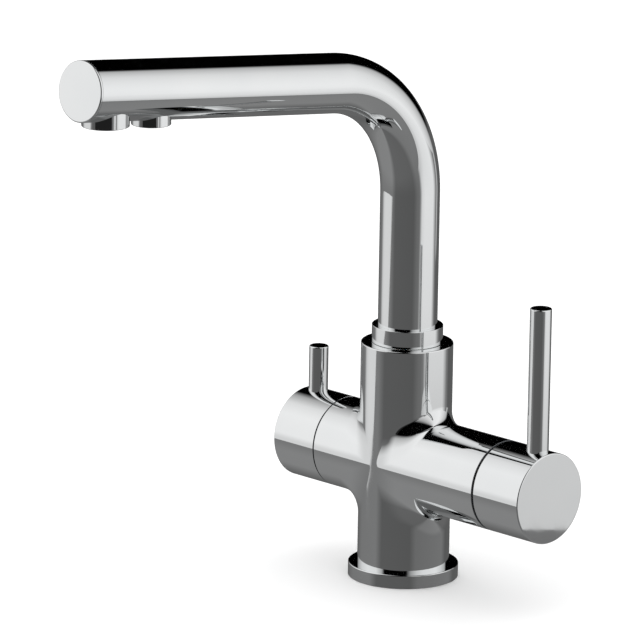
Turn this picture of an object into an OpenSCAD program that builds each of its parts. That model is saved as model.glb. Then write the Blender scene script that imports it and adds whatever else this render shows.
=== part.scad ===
// Three way filtered water tap: column, two arms, swivel spout with two outlets.
// Millimetres. +Z is up and z = 0 is the worktop. The spout points to -Y,
// the mixer arm to +X and the filtered water arm to -X.

/* [Column and base] */
// Diameter of the column
column_d = 43.4; // [42:0.2:48]
// Height of the column's top face above the worktop
column_top = 113.4; // [108:0.2:130]
// Diameter of the base ring
base_d = 52; // [50:1:66]
// Thickness of the base ring
base_h = 6.4; // [5:0.2:10]
// Chamfer on the turned edges
edge_break = 0.6; // [0.2:0.1:0.8]

/* [Arms] */
// Diameter of both arms and of their handle caps
arm_d = 43.1; // [42:0.1:46]
// Height of the arms' axis above the worktop
arm_z = 56.6; // [50:0.2:62]
// Length of the mixer arm, from the column's axis
mixer_arm_l = 64.4; // [64:0.2:76]
// Length of the filtered water arm, from the column's axis
valve_arm_l = 39.5; // [39:0.5:50]

/* [Mixer handle] */
// Length of the mixer's handle cap
mixer_cap_l = 28.4; // [26:0.2:36]
// Parting gap between the mixer arm and its cap
mixer_cap_gap = 1.2; // [0.9:0.1:2]
// Largest tilt of the mixer's lever, in degrees
mixer_tilt = 25; // [15:1:25]
// Diameter of the mixer's lever
mixer_lever_d = 10.2; // [8:0.2:12]
// Height of the mixer lever's tip above the arms' axis
mixer_lever_top = 89.4; // [50:0.2:120]
// Distance from the cap's end face to the mixer lever's axis
mixer_lever_inset = 8.2; // [6.8:0.1:9]

/* [Filter handle] */
// Length of the filtered water handle cap
valve_cap_l = 26.3; // [25:0.1:34]
// Parting gap between the filtered water arm and its cap
valve_cap_gap = 0.6; // [0.4:0.1:1.2]
// Diameter of the filtered water lever
valve_lever_d = 9.2; // [8:0.2:11]
// Height of the filtered water lever's tip above the arms' axis
valve_lever_top = 43.3; // [32:0.1:90]
// Distance from the cap's end face to the filtered water lever's axis
valve_lever_inset = 7.8; // [6.4:0.1:9]

/* [Spout] */
// Outer diameter of the spout tube
spout_d = 28; // [27:0.2:30]
// Wall of the spout tube
spout_wall = 1.4; // [1.2:0.1:1.8]
// Rise of the spout towards its tip, in degrees
spout_rise = 7; // [0:1:20]
// Radius of the bend, on the tube's centre line
bend_r = 60; // [40:1:80]
// Height where the spout's axis crosses the column's axis
spout_z = 238.6; // [225:0.2:320]
// Length of the spout from that point to the tip
spout_l = 212.6; // [190:0.2:260]
// Diameter of the collar at the spout's foot
collar_d = 33.5; // [32:0.1:38]
// Height of the collar's top face above the column's top face
collar_h = 8.4; // [6:0.2:14]

/* [Outlets] */
// Diameter of the mixed water outlet
mixed_outlet_d = 21.8; // [20:0.2:24]
// Distance from the spout's tip to the mixed outlet's axis
mixed_outlet_inset = 16; // [15.8:0.1:24]
// Diameter of the filtered water outlet
filtered_outlet_d = 18.2; // [17:0.2:20]
// Distance between the two outlets' axes
outlet_pitch = 28.3; // [26:0.1:40]
// Distance that the outlets reach below the tube
outlet_drop = 2; // [1.5:0.1:6]

/* [Swivel joint] */
// Diameter of the socket in the column that the spout turns in
socket_d = 24; // [23.4:0.1:24.6]
// Depth of the socket
socket_depth = 25.4; // [24:0.2:28]
// Thickness of the glide ring under the collar
glide_t = 0.8; // [0.5:0.1:1.5]
// Outer diameter of the inner tube for filtered water
hose_d = 8; // [7:0.1:9]
// Wall of the inner tube
hose_wall = 1; // [0.8:0.1:1.2]

/* [Inlets and fixing] */
// Diameter of the three threaded hose inlets
inlet_d = 10; // [9:0.5:11]
// Depth of the hose inlets
inlet_depth = 12; // [8:1:18]
// Diameter of the two threaded stud holes
stud_d = 8; // [6:0.5:8.5]
// Distance between the two stud holes
stud_pitch = 26; // [25:0.5:27]
// Depth of the stud holes
stud_depth = 14; // [8:1:20]

/* [Fits] */
// Radial clearance of parts that turn in each other
running_fit = 0.06; // [0.03:0.01:0.1]
// Radial clearance of parts that are screwed or pushed together
seat_fit = 0.03; // [0.01:0.01:0.05]
// Clearance between the tilting cap and the end of its arm
relief_gap = 0.3; // [0.2:0.05:0.5]

/* [Hidden] */
$fn = 96;

column_r = column_d / 2;
arm_r = arm_d / 2;
base_r = base_d / 2;
spout_r = spout_d / 2;
collar_r = collar_d / 2;
socket_r = socket_d / 2;
inlet_r = inlet_d / 2;
stud_r = stud_d / 2;
hose_r = hose_d / 2;
hose_bore_r = hose_r - hose_wall;

// Half the section of the large and the small rubber rings
o_ring_r = 1.1;
small_ring_r = 0.6;

// The casting's foot is turned down to carry the base ring
ring_seat = 2.7;
foot_r = column_r - ring_seat;
gasket_t = 2;
gasket_w = 2.6;
gasket_mid_r = (foot_r + base_r) / 2;

// Mixer cartridge, with distances from the floor of its seat outwards
cartridge_r = 17.3;
mixer_seat_depth = 41;
mixer_seat_x = mixer_arm_l - mixer_seat_depth;
seal_stand = 0.3;
cartridge_base_t = 4;
mixer_disc_t = 4;
mixer_fixed_disc_r = 12.5;
mixer_moving_disc_r = 9.6;
channel_t = 1.8;
channel_wall = 3.2;
mixer_base_top = seal_stand + cartridge_base_t;
mixer_fixed_top = mixer_base_top + mixer_disc_t;
mixer_moving_disc_t = 3.5;
coupler_t = 5;
mixer_moving_top = mixer_fixed_top + mixer_moving_disc_t;
coupler_top = mixer_moving_top + coupler_t;
ball_r = 2.5;
ball_to_pivot = 10;
ball_gap = 0.3;
ball_z = mixer_moving_top + ball_r + ball_gap;
mixer_pivot_z = ball_z + ball_to_pivot;
disc_travel = ball_to_pivot * sin(mixer_tilt);
ball_lift = ball_to_pivot * (1 - cos(mixer_tilt));
carrier_gap = 0.2;
carrier_bottom = ball_z + ball_r + ball_lift + carrier_gap;
carrier_r = 14.4;
carrier_body_l = 11.2;
carrier_ring_back = 2.6;
carrier_neck_r = 12.2;
carrier_neck_l = 9;
carrier_stand = 0.6;
housing_shoulder_t = 2.2;
housing_neck_wall = 2;
carrier_shoulder = carrier_bottom + carrier_body_l;
carrier_ring_z = carrier_shoulder - carrier_ring_back;
carrier_top = carrier_shoulder + carrier_neck_l;
housing_shoulder = carrier_shoulder + housing_shoulder_t;
housing_top = carrier_top - carrier_stand;
housing_neck_r = carrier_neck_r + housing_neck_wall;
disc_room = 0.3;
housing_bore_r = max(carrier_r + running_fit, mixer_moving_disc_r + disc_travel + disc_room);
pin_r = 1.5;
slot_gap = 0.25;
pin_half = carrier_r - 2 * o_ring_r - slot_gap;
stem_w = 7;
stem_h = 6.4;
stem_hub_r = 3.8;
stem_neck_r = 1.7;
nut_t = 7;
nut_thread_r = 18.4;
nut_hex_r = 17.6;
nut_hex_t = 2.2;
port_r = 2.6;
port_seal_r = 4.2;
port_seal_t = 2;
// Places of the cartridge's ports: up, and across
inlet_port = [-4, 7.5];
outlet_port = [8, 0];

// The tilting cap is hollowed by a sphere round its pivot, just clear of the arm's end
mixer_cap_start = mixer_arm_l + mixer_cap_gap;
mixer_cap_end = mixer_cap_start + mixer_cap_l;
mixer_pivot_x = mixer_seat_x + mixer_pivot_z;
relief_r = sqrt(pow(mixer_arm_l - mixer_pivot_x, 2) + pow(arm_r, 2)) + relief_gap;
mixer_lever_x = mixer_cap_end - mixer_lever_inset;
mixer_lever_r = mixer_lever_d / 2;
lever_seat = 1.5;
lever_thread_r = 3;
lever_thread_l = 8;
stem_end_inset = 10;
stem_end_x = mixer_cap_end - stem_end_inset;
handle_screw_r = 2.5;
handle_screw_l = 9;
key_share = 0.58;
handle_screw_wall = 1.7;
mixer_screw_x = mixer_pivot_x + relief_r + handle_screw_r + handle_screw_wall;

// Filtered water headwork, with distances from the floor of its seat outwards
valve_seat_depth = 18;
valve_seat_x = valve_arm_l - valve_seat_depth;
valve_inlet_r = 4;
valve_port_at = 4;
valve_port_r = 2;
valve_window_w = 6;
valve_chamber_r = 13;
valve_chamber_l = 12;
valve_thread_r = 10.4;
valve_barrel_r = 8.5;
valve_bore_r = 7.4;
seat_washer_t = 1.2;
valve_disc_seat = 2.7;
valve_disc_t = 2.4;
valve_disc_r = 7.2;
valve_fixed_top = valve_disc_seat + valve_disc_t;
valve_moving_top = valve_fixed_top + valve_disc_t;
dog_t = 3;
valve_thread_l = 3.5;
valve_flange_bottom = valve_chamber_l + valve_thread_l;
valve_flange_t = 3.5;
valve_flange_r = 12.7;
valve_recess_r = 17.6;
valve_neck_r = 6.8;
valve_neck_l = 8.5;
valve_neck_top = valve_seat_depth + valve_neck_l;
spindle_r = 4.4;
spline_r = 3.9;
spline_l = 11.5;
spindle_top = valve_neck_top + spline_l;
spindle_ring_down = [9, 4.5];
spindle_ring_z = [for (down = spindle_ring_down) valve_neck_top - down];
valve_cap_start = valve_arm_l + valve_cap_gap;
valve_cap_end = valve_cap_start + valve_cap_l;
valve_cavity_r = 18.8;
valve_cavity_gap = 2;
valve_cavity_x = valve_seat_x + valve_neck_top + valve_cavity_gap;
valve_lever_x = valve_cap_end - valve_lever_inset;
valve_lever_r = valve_lever_d / 2;
valve_screw_r = 2;
valve_screw_wall = 1.5;
valve_screw_x = valve_cavity_x + valve_screw_r + valve_screw_wall;

// Waterways of the casting
way_r = 3;
filtered_way_r = 2.2;
filtered_way_wall = 0.4;
filtered_way_up = valve_chamber_r - filtered_way_r - filtered_way_wall;
supply_x = 10;
filtered_supply_x = -12;
mixed_riser_x = 8.8;
mixed_riser_r = 2.8;
socket_floor = column_top - socket_depth;

// Spout, along its own axis
turn = 90 - spout_rise;
lap = 0.1;
bend_thin = 0.01;
bend_z = spout_z - bend_r * tan(turn / 2);
spout_bore_r = spout_r - spout_wall;
straight_start = bend_r * tan(turn / 2);
end_cap_t = 1.2;
end_cap_spigot = 5;
mixed_s = spout_l - mixed_outlet_inset;
filtered_s = mixed_s - outlet_pitch;
mixed_r = mixed_outlet_d / 2;
filtered_r = filtered_outlet_d / 2;
outlet_end = spout_r + outlet_drop;
outlet_edge = 0.3;
housing_recess = 0.4;
jet_recess = 1;
jet_plate_t = 1.6;
jet_r = 0.7;
jet_rows = [2.6, 5];
washer_t = 1.2;
socket_wall = 1.7;
sleeve_wall = 1;
ledge_w = 0.6;
mixed_ledge = 6.5;
filtered_ledge = 8;
elbow_r = 5.6;
elbow_up = 5;
elbow_way_r = 1.9;
elbow_cap_t = 2;
barb_l = 9;
tube_gap = 0.6;

// Foot of the spout
spout_foot_r = socket_r - running_fit;
foot_floor_gap = 2;
foot_spigot_l = 11;
foot_ring_up = [5, 10];
spout_foot_bottom = socket_floor + foot_floor_gap;
foot_flange_bottom = column_top + glide_t;
foot_flange_t = 2.3;
tube_bottom = foot_flange_bottom + foot_flange_t;
foot_spigot_top = tube_bottom + foot_spigot_l;
foot_bore_r = 8.5;
foot_ring_z = [for (up = foot_ring_up) spout_foot_bottom + up];
retain_down = 5.8;
retain_z = column_top - retain_down;
retain_w = 4.4;
retain_d = 1.9;
retain_screw_r = 2.5;
retain_tip_r = 1.7;
retain_screw_l = 8;
retain_recess = 1;
retain_key_r = 1.45;
retain_key_depth = 3;
retain_tip_gap = 0.4;
retain_reach = column_r - retain_recess - spout_foot_r + retain_d - retain_tip_gap;
glide_clear = 0.3;
glide_inset = 0.6;

// Nipple and plug that carry the filtered water across the swivel
nipple_r = 3.6;
nipple_flange_r = 5;
nipple_spigot_r = 3;
nipple_spigot_l = 4;
nipple_flange_t = 1.6;
nipple_l = 13.5;
nipple_ring_up = [4, 8];
nipple_flange_top = socket_floor + nipple_flange_t;
nipple_top = socket_floor + nipple_l;
nipple_ring_z = [for (up = nipple_ring_up) nipple_flange_top + up];
plug_r = 6.2;
plug_fin_w = 2;
plug_fin_gap = 0.1;
plug_fin_h = 8;
plug_gap = 0.8;
plug_solid_l = 8;
plug_bottom = nipple_flange_top + plug_gap;
plug_body_top = nipple_top + plug_solid_l;
barb_r = hose_bore_r - seat_fit;
barb_top = plug_body_top + barb_l;

module turned(outline) rotate_extrude() polygon(outline);

module cylinder_from(low, high, rod_r) translate([0, 0, low]) cylinder(r = rod_r, h = high - low);

module o_ring(mid_r, ring_r) rotate_extrude() translate([mid_r, 0]) circle(r = ring_r);

// A groove for a ring of round section, cut in a shaft
module ring_groove(shaft_r, mid_r, ring_r) rotate_extrude()
    translate([mid_r - ring_r - seat_fit, -ring_r - 0.15])
        square([shaft_r - mid_r + ring_r + seat_fit + 1, 2 * ring_r + 0.3]);

// Frames of the two arms: local z runs outwards along the arm and local x points up
module mixer_side() translate([0, 0, arm_z]) rotate([0, 90, 0]) rotate([0, 0, 180]) children();
module valve_side() translate([0, 0, arm_z]) rotate([0, -90, 0]) children();
module mixer_seat() mixer_side() translate([0, 0, mixer_seat_x]) children();
module valve_seat() valve_side() translate([0, 0, valve_seat_x]) children();

// Frame of the spout: local z runs to the tip and local y points up
module spout_side() translate([0, 0, spout_z]) rotate([turn, 0, 0]) children();
// Frame of an outlet: local z runs straight down from a point s along the spout's axis
module outlet_side(s) translate([0, -s * cos(spout_rise), spout_z + s * sin(spout_rise)])
    rotate([180, 0, 0]) children();

module port_places() {
    translate([inlet_port[0], inlet_port[1], 0]) children();
    translate([inlet_port[0], -inlet_port[1], 0]) children();
    translate([outlet_port[0], outlet_port[1], 0]) children();
}

// A solid round rod that follows the spout: up the column, round the bend and along.
// The straight lengths run a hair into a bend that is a hair thinner, so that the three
// meet in clean edges and join as one solid.
module spout_path(rod_r, from_z, to_s) {
    cylinder_from(from_z, bend_z + lap, rod_r);
    translate([0, -bend_r, bend_z]) rotate([90, 0, 90])
        rotate_extrude(angle = turn) translate([bend_r, 0]) circle(r = rod_r - bend_thin);
    spout_side() cylinder_from(straight_start - lap, to_s, rod_r);
}

module body_casting() color("gainsboro") difference() {
    union() {
        cylinder(r = foot_r, h = base_h + 1);
        turned([[0, base_h], [column_r, base_h], [column_r, column_top - edge_break],
            [column_r - edge_break, column_top], [0, column_top]]);
        mixer_side() turned([[0, 0], [arm_r, 0], [arm_r, mixer_arm_l - edge_break],
            [arm_r - edge_break, mixer_arm_l], [0, mixer_arm_l]]);
        valve_side() turned([[0, 0], [arm_r, 0], [arm_r, valve_arm_l - edge_break],
            [arm_r - edge_break, valve_arm_l], [0, valve_arm_l]]);
    }
    casting_swivel_socket();
    casting_mixer_seat();
    casting_valve_seat();
    casting_underside();
}

module casting_swivel_socket() {
    translate([0, 0, socket_floor]) cylinder(r = socket_r, h = socket_depth + 1);
    translate([0, 0, socket_floor - nipple_spigot_l])
        cylinder(r = nipple_spigot_r, h = nipple_spigot_l + 1);
    translate([0, 0, arm_z + filtered_way_up])
        cylinder(r = filtered_way_r, h = socket_floor - arm_z - filtered_way_up);
    translate([mixed_riser_x, 0, arm_z + outlet_port[0]])
        cylinder(r = mixed_riser_r, h = socket_floor - arm_z - outlet_port[0] + 1);
    translate([0, 0, retain_z]) rotate([-90, 0, 0]) cylinder(r = retain_screw_r, h = column_r + 1);
}

module casting_mixer_seat() {
    mixer_seat() cylinder(r = cartridge_r + seat_fit, h = mixer_seat_depth + 1);
    mixer_seat() translate([0, 0, housing_shoulder])
        cylinder(r = nut_thread_r + seat_fit, h = mixer_seat_depth - housing_shoulder + 1);
    for (side = [-1, 1]) mixer_side()
        translate([inlet_port[0], side * inlet_port[1], supply_x - way_r])
            cylinder(r = port_r, h = mixer_seat_x - supply_x + way_r + 1);
    mixer_side() translate([outlet_port[0], 0, mixed_riser_x])
        cylinder(r = port_r, h = mixer_seat_x - mixed_riser_x + 1);
}

module casting_valve_seat() {
    valve_seat() cylinder(r = valve_chamber_r, h = valve_chamber_l);
    valve_seat() cylinder(r = valve_thread_r + seat_fit, h = valve_seat_depth);
    valve_seat() translate([0, 0, valve_flange_bottom])
        cylinder(r = valve_recess_r, h = valve_seat_depth - valve_flange_bottom + 1);
    valve_side() translate([0, 0, -filtered_supply_x - way_r])
        cylinder(r = filtered_way_r, h = valve_seat_x + filtered_supply_x + way_r + 1);
    valve_side() translate([filtered_way_up, 0, -filtered_way_r])
        cylinder(r = filtered_way_r, h = valve_seat_x + filtered_way_r + 1);
}

module casting_underside() {
    for (side = [-1, 1]) translate([supply_x, side * inlet_port[1], -1]) {
        cylinder(r = inlet_r, h = inlet_depth + 1);
        cylinder(r = way_r, h = arm_z + inlet_port[0] + 1);
    }
    translate([filtered_supply_x, 0, -1]) {
        cylinder(r = inlet_r, h = inlet_depth + 1);
        cylinder(r = way_r, h = arm_z + 1);
    }
    for (side = [-1, 1]) translate([0, side * stud_pitch / 2, -1])
        cylinder(r = stud_r, h = stud_depth + 1);
}

module base_ring() color("gainsboro") turned([[foot_r + seat_fit, 0],
    [gasket_mid_r - gasket_w / 2, 0], [gasket_mid_r - gasket_w / 2, gasket_t],
    [gasket_mid_r + gasket_w / 2, gasket_t], [gasket_mid_r + gasket_w / 2, 0],
    [base_r, 0], [base_r, base_h - edge_break / 2], [base_r - edge_break / 2, base_h],
    [foot_r + seat_fit, base_h]]);

module base_gasket() color("dimgray") turned([[gasket_mid_r - gasket_w / 2 + seat_fit, 0],
    [gasket_mid_r + gasket_w / 2 - seat_fit, 0], [gasket_mid_r + gasket_w / 2 - seat_fit, gasket_t],
    [gasket_mid_r - gasket_w / 2 + seat_fit, gasket_t]]);

module spout_glide_ring() color("ivory") turned([[socket_r + glide_clear, column_top],
    [collar_r - glide_inset, column_top], [collar_r - glide_inset, column_top + glide_t],
    [socket_r + glide_clear, column_top + glide_t]]);

module spout_retaining_screw() color("silver") translate([0, column_r - retain_recess, retain_z])
    rotate([90, 0, 0]) difference() {
        turned([[0, 0], [retain_screw_r - seat_fit, 0], [retain_screw_r - seat_fit, retain_screw_l],
            [retain_tip_r, retain_screw_l], [retain_tip_r, retain_reach], [0, retain_reach]]);
        translate([0, 0, -1]) cylinder(r = retain_key_r, h = retain_key_depth + 1, $fn = 6);
    }

module filtered_nipple() color("goldenrod") difference() {
    turned([[filtered_way_r, socket_floor - nipple_spigot_l],
        [nipple_spigot_r - seat_fit, socket_floor - nipple_spigot_l],
        [nipple_spigot_r - seat_fit, socket_floor], [nipple_flange_r, socket_floor],
        [nipple_flange_r, nipple_flange_top], [nipple_r, nipple_flange_top],
        [nipple_r, nipple_top], [filtered_way_r, nipple_top]]);
    for (z = nipple_ring_z) translate([0, 0, z])
        ring_groove(nipple_r, nipple_r - small_ring_r, small_ring_r);
}

module filtered_nipple_o_rings() color("black") for (z = nipple_ring_z) translate([0, 0, z])
    o_ring(nipple_r - small_ring_r, small_ring_r);

module mixer_cartridge_housing() color("ivory") mixer_seat() turned([
    [housing_bore_r, mixer_base_top], [cartridge_r, mixer_base_top],
    [cartridge_r, housing_shoulder], [housing_neck_r, housing_shoulder],
    [housing_neck_r, housing_top], [carrier_neck_r + running_fit, housing_top],
    [carrier_neck_r + running_fit, carrier_shoulder + disc_room],
    [housing_bore_r, carrier_shoulder + disc_room]]);

module mixer_cartridge_base() color("ivory") mixer_seat() difference() {
    translate([0, 0, seal_stand]) cylinder(r = cartridge_r, h = cartridge_base_t);
    port_places() translate([0, 0, -1]) cylinder(r = port_r, h = mixer_base_top + 2);
    port_places() translate([0, 0, -1]) cylinder(r = port_seal_r + seat_fit, h = port_seal_t + 1);
}

module mixer_port_seals() color("black") mixer_seat() port_places()
    turned([[port_r, 0], [port_seal_r, 0], [port_seal_r, port_seal_t], [port_r, port_seal_t]]);

module mixer_fixed_disc() color("snow") mixer_seat() difference() {
    translate([0, 0, mixer_base_top]) cylinder(r = mixer_fixed_disc_r, h = mixer_disc_t);
    port_places() cylinder(r = port_r, h = mixer_fixed_top + 1);
}

module mixer_cartridge_nut() color("goldenrod") mixer_seat() difference() {
    union() {
        translate([0, 0, housing_shoulder]) cylinder(r = nut_thread_r, h = nut_t);
        translate([0, 0, housing_shoulder + nut_t]) cylinder(r = nut_hex_r, h = nut_hex_t, $fn = 6);
    }
    translate([0, 0, housing_shoulder - 1])
        cylinder(r = housing_neck_r + seat_fit, h = nut_t + nut_hex_t + 2);
}

module filter_valve_housing() color("goldenrod") valve_seat() difference() {
    union() {
        translate([0, 0, seat_washer_t]) cylinder(r = valve_barrel_r, h = valve_chamber_l);
        translate([0, 0, valve_chamber_l])
            cylinder(r = valve_thread_r, h = valve_flange_bottom - valve_chamber_l);
        translate([0, 0, valve_flange_bottom])
            cylinder(r = valve_flange_r, h = valve_flange_t, $fn = 6);
        cylinder_from(valve_flange_bottom + valve_flange_t, valve_neck_top, valve_neck_r);
    }
    cylinder(r = valve_inlet_r, h = valve_disc_seat + 1);
    cylinder_from(valve_disc_seat, valve_moving_top + dog_t + disc_room, valve_bore_r);
    cylinder_from(valve_moving_top + dog_t, valve_neck_top + 1, spindle_r + running_fit);
    for (side = [-1, 1]) translate([side * valve_barrel_r, 0, valve_moving_top + dog_t / 2])
        cube([valve_window_w, valve_window_w, dog_t - 2 * slot_gap], center = true);
}

module filter_valve_seat_washer() color("black") valve_seat()
    turned([[valve_inlet_r, 0], [valve_barrel_r, 0],
        [valve_barrel_r, seat_washer_t], [valve_inlet_r, seat_washer_t]]);

module filter_fixed_disc() color("snow") valve_seat() difference() {
    cylinder_from(valve_disc_seat, valve_fixed_top, valve_disc_r);
    for (side = [-1, 1]) translate([side * valve_port_at, 0, 0])
        cylinder(r = valve_port_r, h = valve_fixed_top + 1);
}

module filter_moving_disc() color("snow") valve_seat() difference() {
    cylinder_from(valve_fixed_top, valve_moving_top, valve_disc_r);
    for (side = [-1, 1]) translate([0, side * valve_port_at, 0])
        cylinder(r = valve_port_r, h = valve_moving_top + 1);
}

module filter_spindle() color("goldenrod") valve_seat() difference() {
    union() {
        translate([-spindle_r, -spindle_r, valve_moving_top])
            cube([2 * spindle_r, 2 * spindle_r, dog_t]);
        cylinder_from(valve_moving_top + dog_t, valve_neck_top, spindle_r);
        cylinder_from(valve_neck_top, spindle_top, spline_r);
    }
    for (z = spindle_ring_z) translate([0, 0, z])
        ring_groove(spindle_r, spindle_r - small_ring_r, small_ring_r);
}

module filter_spindle_o_rings() color("black") valve_seat() for (z = spindle_ring_z)
    translate([0, 0, z]) o_ring(spindle_r - small_ring_r, small_ring_r);

module filter_handle_cap() color("gainsboro") valve_side() difference() {
    turned([[0, valve_cap_start], [arm_r, valve_cap_start], [arm_r, valve_cap_end - edge_break],
        [arm_r - edge_break, valve_cap_end], [0, valve_cap_end]]);
    cylinder_from(valve_cap_start - 1, valve_cavity_x, valve_cavity_r);
    cylinder_from(valve_cavity_x - 1, valve_seat_x + spindle_top + 0.3, spline_r + seat_fit);
    translate([0, 0, valve_lever_x]) lever_hole(valve_lever_r);
    translate([-arm_r - 1, 0, valve_screw_x]) rotate([0, 90, 0])
        cylinder(r = valve_screw_r, h = arm_r + 1);
}

// Hole in a cap for a lever: a round seat with a threaded hole below it
module lever_hole(rod_r) {
    translate([arm_r - lever_seat, 0, 0]) rotate([0, 90, 0])
        cylinder(r = rod_r + seat_fit, h = lever_seat + 1);
    translate([arm_r - lever_seat - lever_thread_l - 1, 0, 0]) rotate([0, 90, 0])
        cylinder(r = lever_thread_r, h = lever_thread_l + 2);
}

// A lever rod with its threaded end, standing up out of a cap
module lever(rod_r, tip) rotate([0, 90, 0]) turned([[0, arm_r - lever_seat - lever_thread_l],
    [lever_thread_r - seat_fit, arm_r - lever_seat - lever_thread_l],
    [lever_thread_r - seat_fit, arm_r - lever_seat], [rod_r, arm_r - lever_seat],
    [rod_r, tip - edge_break], [rod_r - edge_break, tip], [0, tip]]);

// A grub screw with a hexagon socket, pointing up at the axis from below
module grub_screw(screw_r, tip_r, l) translate([-tip_r - l, 0, 0]) rotate([0, 90, 0])
    difference() {
        cylinder(r = screw_r - seat_fit, h = l);
        translate([0, 0, -1]) cylinder(r = screw_r * key_share, h = l / 2, $fn = 6);
    }

module filter_lever_rod() color("gainsboro") valve_side() translate([0, 0, valve_lever_x])
    lever(valve_lever_r, valve_lever_top);

module filter_handle_screw() color("silver") valve_side() translate([0, 0, valve_screw_x])
    grub_screw(valve_screw_r, spline_r + seat_fit, handle_screw_l);

module mixer_cartridge_carrier() color("ivory") mixer_seat() difference() {
    turned([[0, carrier_bottom], [carrier_r, carrier_bottom], [carrier_r, carrier_shoulder],
        [carrier_neck_r, carrier_shoulder], [carrier_neck_r, carrier_top], [0, carrier_top]]);
    translate([0, stem_w / 2 + slot_gap, mixer_pivot_z]) rotate([90, 0, 0])
        linear_extrude(stem_w + 2 * slot_gap) stem_slot();
    translate([0, 0, mixer_pivot_z]) rotate([90, 0, 0])
        translate([0, 0, -pin_half]) cylinder(r = pin_r + seat_fit, h = 2 * pin_half);
    translate([0, 0, carrier_ring_z]) ring_groove(carrier_r, carrier_r - o_ring_r, o_ring_r);
}

// Room that the stem needs between closed and fully open, seen along its pivot
module stem_slot() {
    reach = carrier_top - mixer_pivot_z + 1;
    drop = carrier_bottom - mixer_pivot_z - 1;
    half = stem_h / 2 + slot_gap;
    neck = stem_neck_r + slot_gap;
    circle(r = stem_hub_r + slot_gap);
    polygon([[half, 0], [half, reach],
        [-half / cos(mixer_tilt) - reach * tan(mixer_tilt), reach], [-half / cos(mixer_tilt), 0]]);
    polygon([[-neck, 0], [-neck, drop],
        [neck / cos(mixer_tilt) - drop * tan(mixer_tilt), drop], [neck / cos(mixer_tilt), 0]]);
}

module mixer_pivot_pin() color("silver") mixer_seat() translate([0, 0, mixer_pivot_z])
    rotate([90, 0, 0]) translate([0, 0, -pin_half + 0.2]) cylinder(r = pin_r, h = 2 * pin_half - 0.4);

module mixer_carrier_o_ring() color("black") mixer_seat() translate([0, 0, carrier_ring_z])
    o_ring(carrier_r - o_ring_r, o_ring_r);

module mixer_moving_disc() color("snow") mixer_seat() difference() {
    cylinder_from(mixer_fixed_top, mixer_moving_top, mixer_moving_disc_r);
    cylinder_from(mixer_fixed_top - 1, mixer_fixed_top + channel_t, mixer_moving_disc_r - channel_wall);
}

module mixer_disc_coupler() color("ivory") mixer_seat() difference() {
    cylinder_from(mixer_moving_top, coupler_top, mixer_moving_disc_r);
    cylinder_from(mixer_moving_top - 1, coupler_top + 1, ball_r + slot_gap);
}

module mixer_stem() color("goldenrod") mixer_seat() difference() {
    union() {
        translate([0, 0, ball_z]) sphere(r = ball_r);
        cylinder_from(ball_z, mixer_pivot_z, stem_neck_r);
        translate([0, stem_w / 2, mixer_pivot_z]) rotate([90, 0, 0])
            cylinder(r = stem_hub_r, h = stem_w);
        translate([-stem_h / 2, -stem_w / 2, mixer_pivot_z])
            cube([stem_h, stem_w, stem_end_x - mixer_pivot_x]);
    }
    translate([0, stem_w, mixer_pivot_z]) rotate([90, 0, 0])
        cylinder(r = pin_r + running_fit, h = 2 * stem_w);
}

module mixer_handle_cap() color("gainsboro") mixer_side() difference() {
    turned([[0, mixer_cap_start], [arm_r, mixer_cap_start], [arm_r, mixer_cap_end - edge_break],
        [arm_r - edge_break, mixer_cap_end], [0, mixer_cap_end]]);
    translate([0, 0, mixer_pivot_x]) sphere(r = relief_r);
    translate([-stem_h / 2 - seat_fit, -stem_w / 2 - seat_fit, mixer_pivot_x])
        cube([stem_h + 2 * seat_fit, stem_w + 2 * seat_fit, stem_end_x - mixer_pivot_x + 0.2]);
    translate([0, 0, mixer_lever_x]) lever_hole(mixer_lever_r);
    translate([-arm_r - 1, 0, mixer_screw_x]) rotate([0, 90, 0])
        cylinder(r = handle_screw_r, h = arm_r + 1);
}

module mixer_lever_rod() color("gainsboro") mixer_side() translate([0, 0, mixer_lever_x])
    lever(mixer_lever_r, mixer_lever_top);

module mixer_handle_screw() color("silver") mixer_side() translate([0, 0, mixer_screw_x])
    grub_screw(handle_screw_r, stem_h / 2 + seat_fit, handle_screw_l);

module spout_tube() color("gainsboro") difference() {
    spout_path(spout_r, tube_bottom, spout_l - end_cap_t);
    spout_path(spout_bore_r, tube_bottom - 1, spout_l);
    outlet_side(mixed_s) cylinder(r = mixed_r + seat_fit, h = outlet_end);
    outlet_side(filtered_s) cylinder(r = filtered_r + seat_fit, h = outlet_end);
}

module spout_collar() color("gainsboro") turned([[spout_r + seat_fit, foot_flange_bottom],
    [collar_r, foot_flange_bottom], [collar_r, column_top + collar_h - edge_break / 2],
    [collar_r - edge_break / 2, column_top + collar_h], [spout_r + seat_fit, column_top + collar_h]]);

module spout_foot() color("goldenrod") difference() {
    turned([[foot_bore_r, spout_foot_bottom], [spout_foot_r, spout_foot_bottom],
        [spout_foot_r, foot_flange_bottom], [spout_r - 0.1, foot_flange_bottom],
        [spout_r - 0.1, tube_bottom], [spout_bore_r - seat_fit, tube_bottom],
        [spout_bore_r - seat_fit, foot_spigot_top], [foot_bore_r, foot_spigot_top]]);
    for (z = foot_ring_z) translate([0, 0, z])
        ring_groove(spout_foot_r, spout_foot_r - o_ring_r, o_ring_r);
    translate([0, 0, retain_z - retain_w / 2]) turned([[spout_foot_r - retain_d, 0],
        [spout_foot_r + 1, 0], [spout_foot_r + 1, retain_w], [spout_foot_r - retain_d, retain_w]]);
}

module spout_foot_o_rings() color("black") for (z = foot_ring_z) translate([0, 0, z])
    o_ring(spout_foot_r - o_ring_r, o_ring_r);

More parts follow.
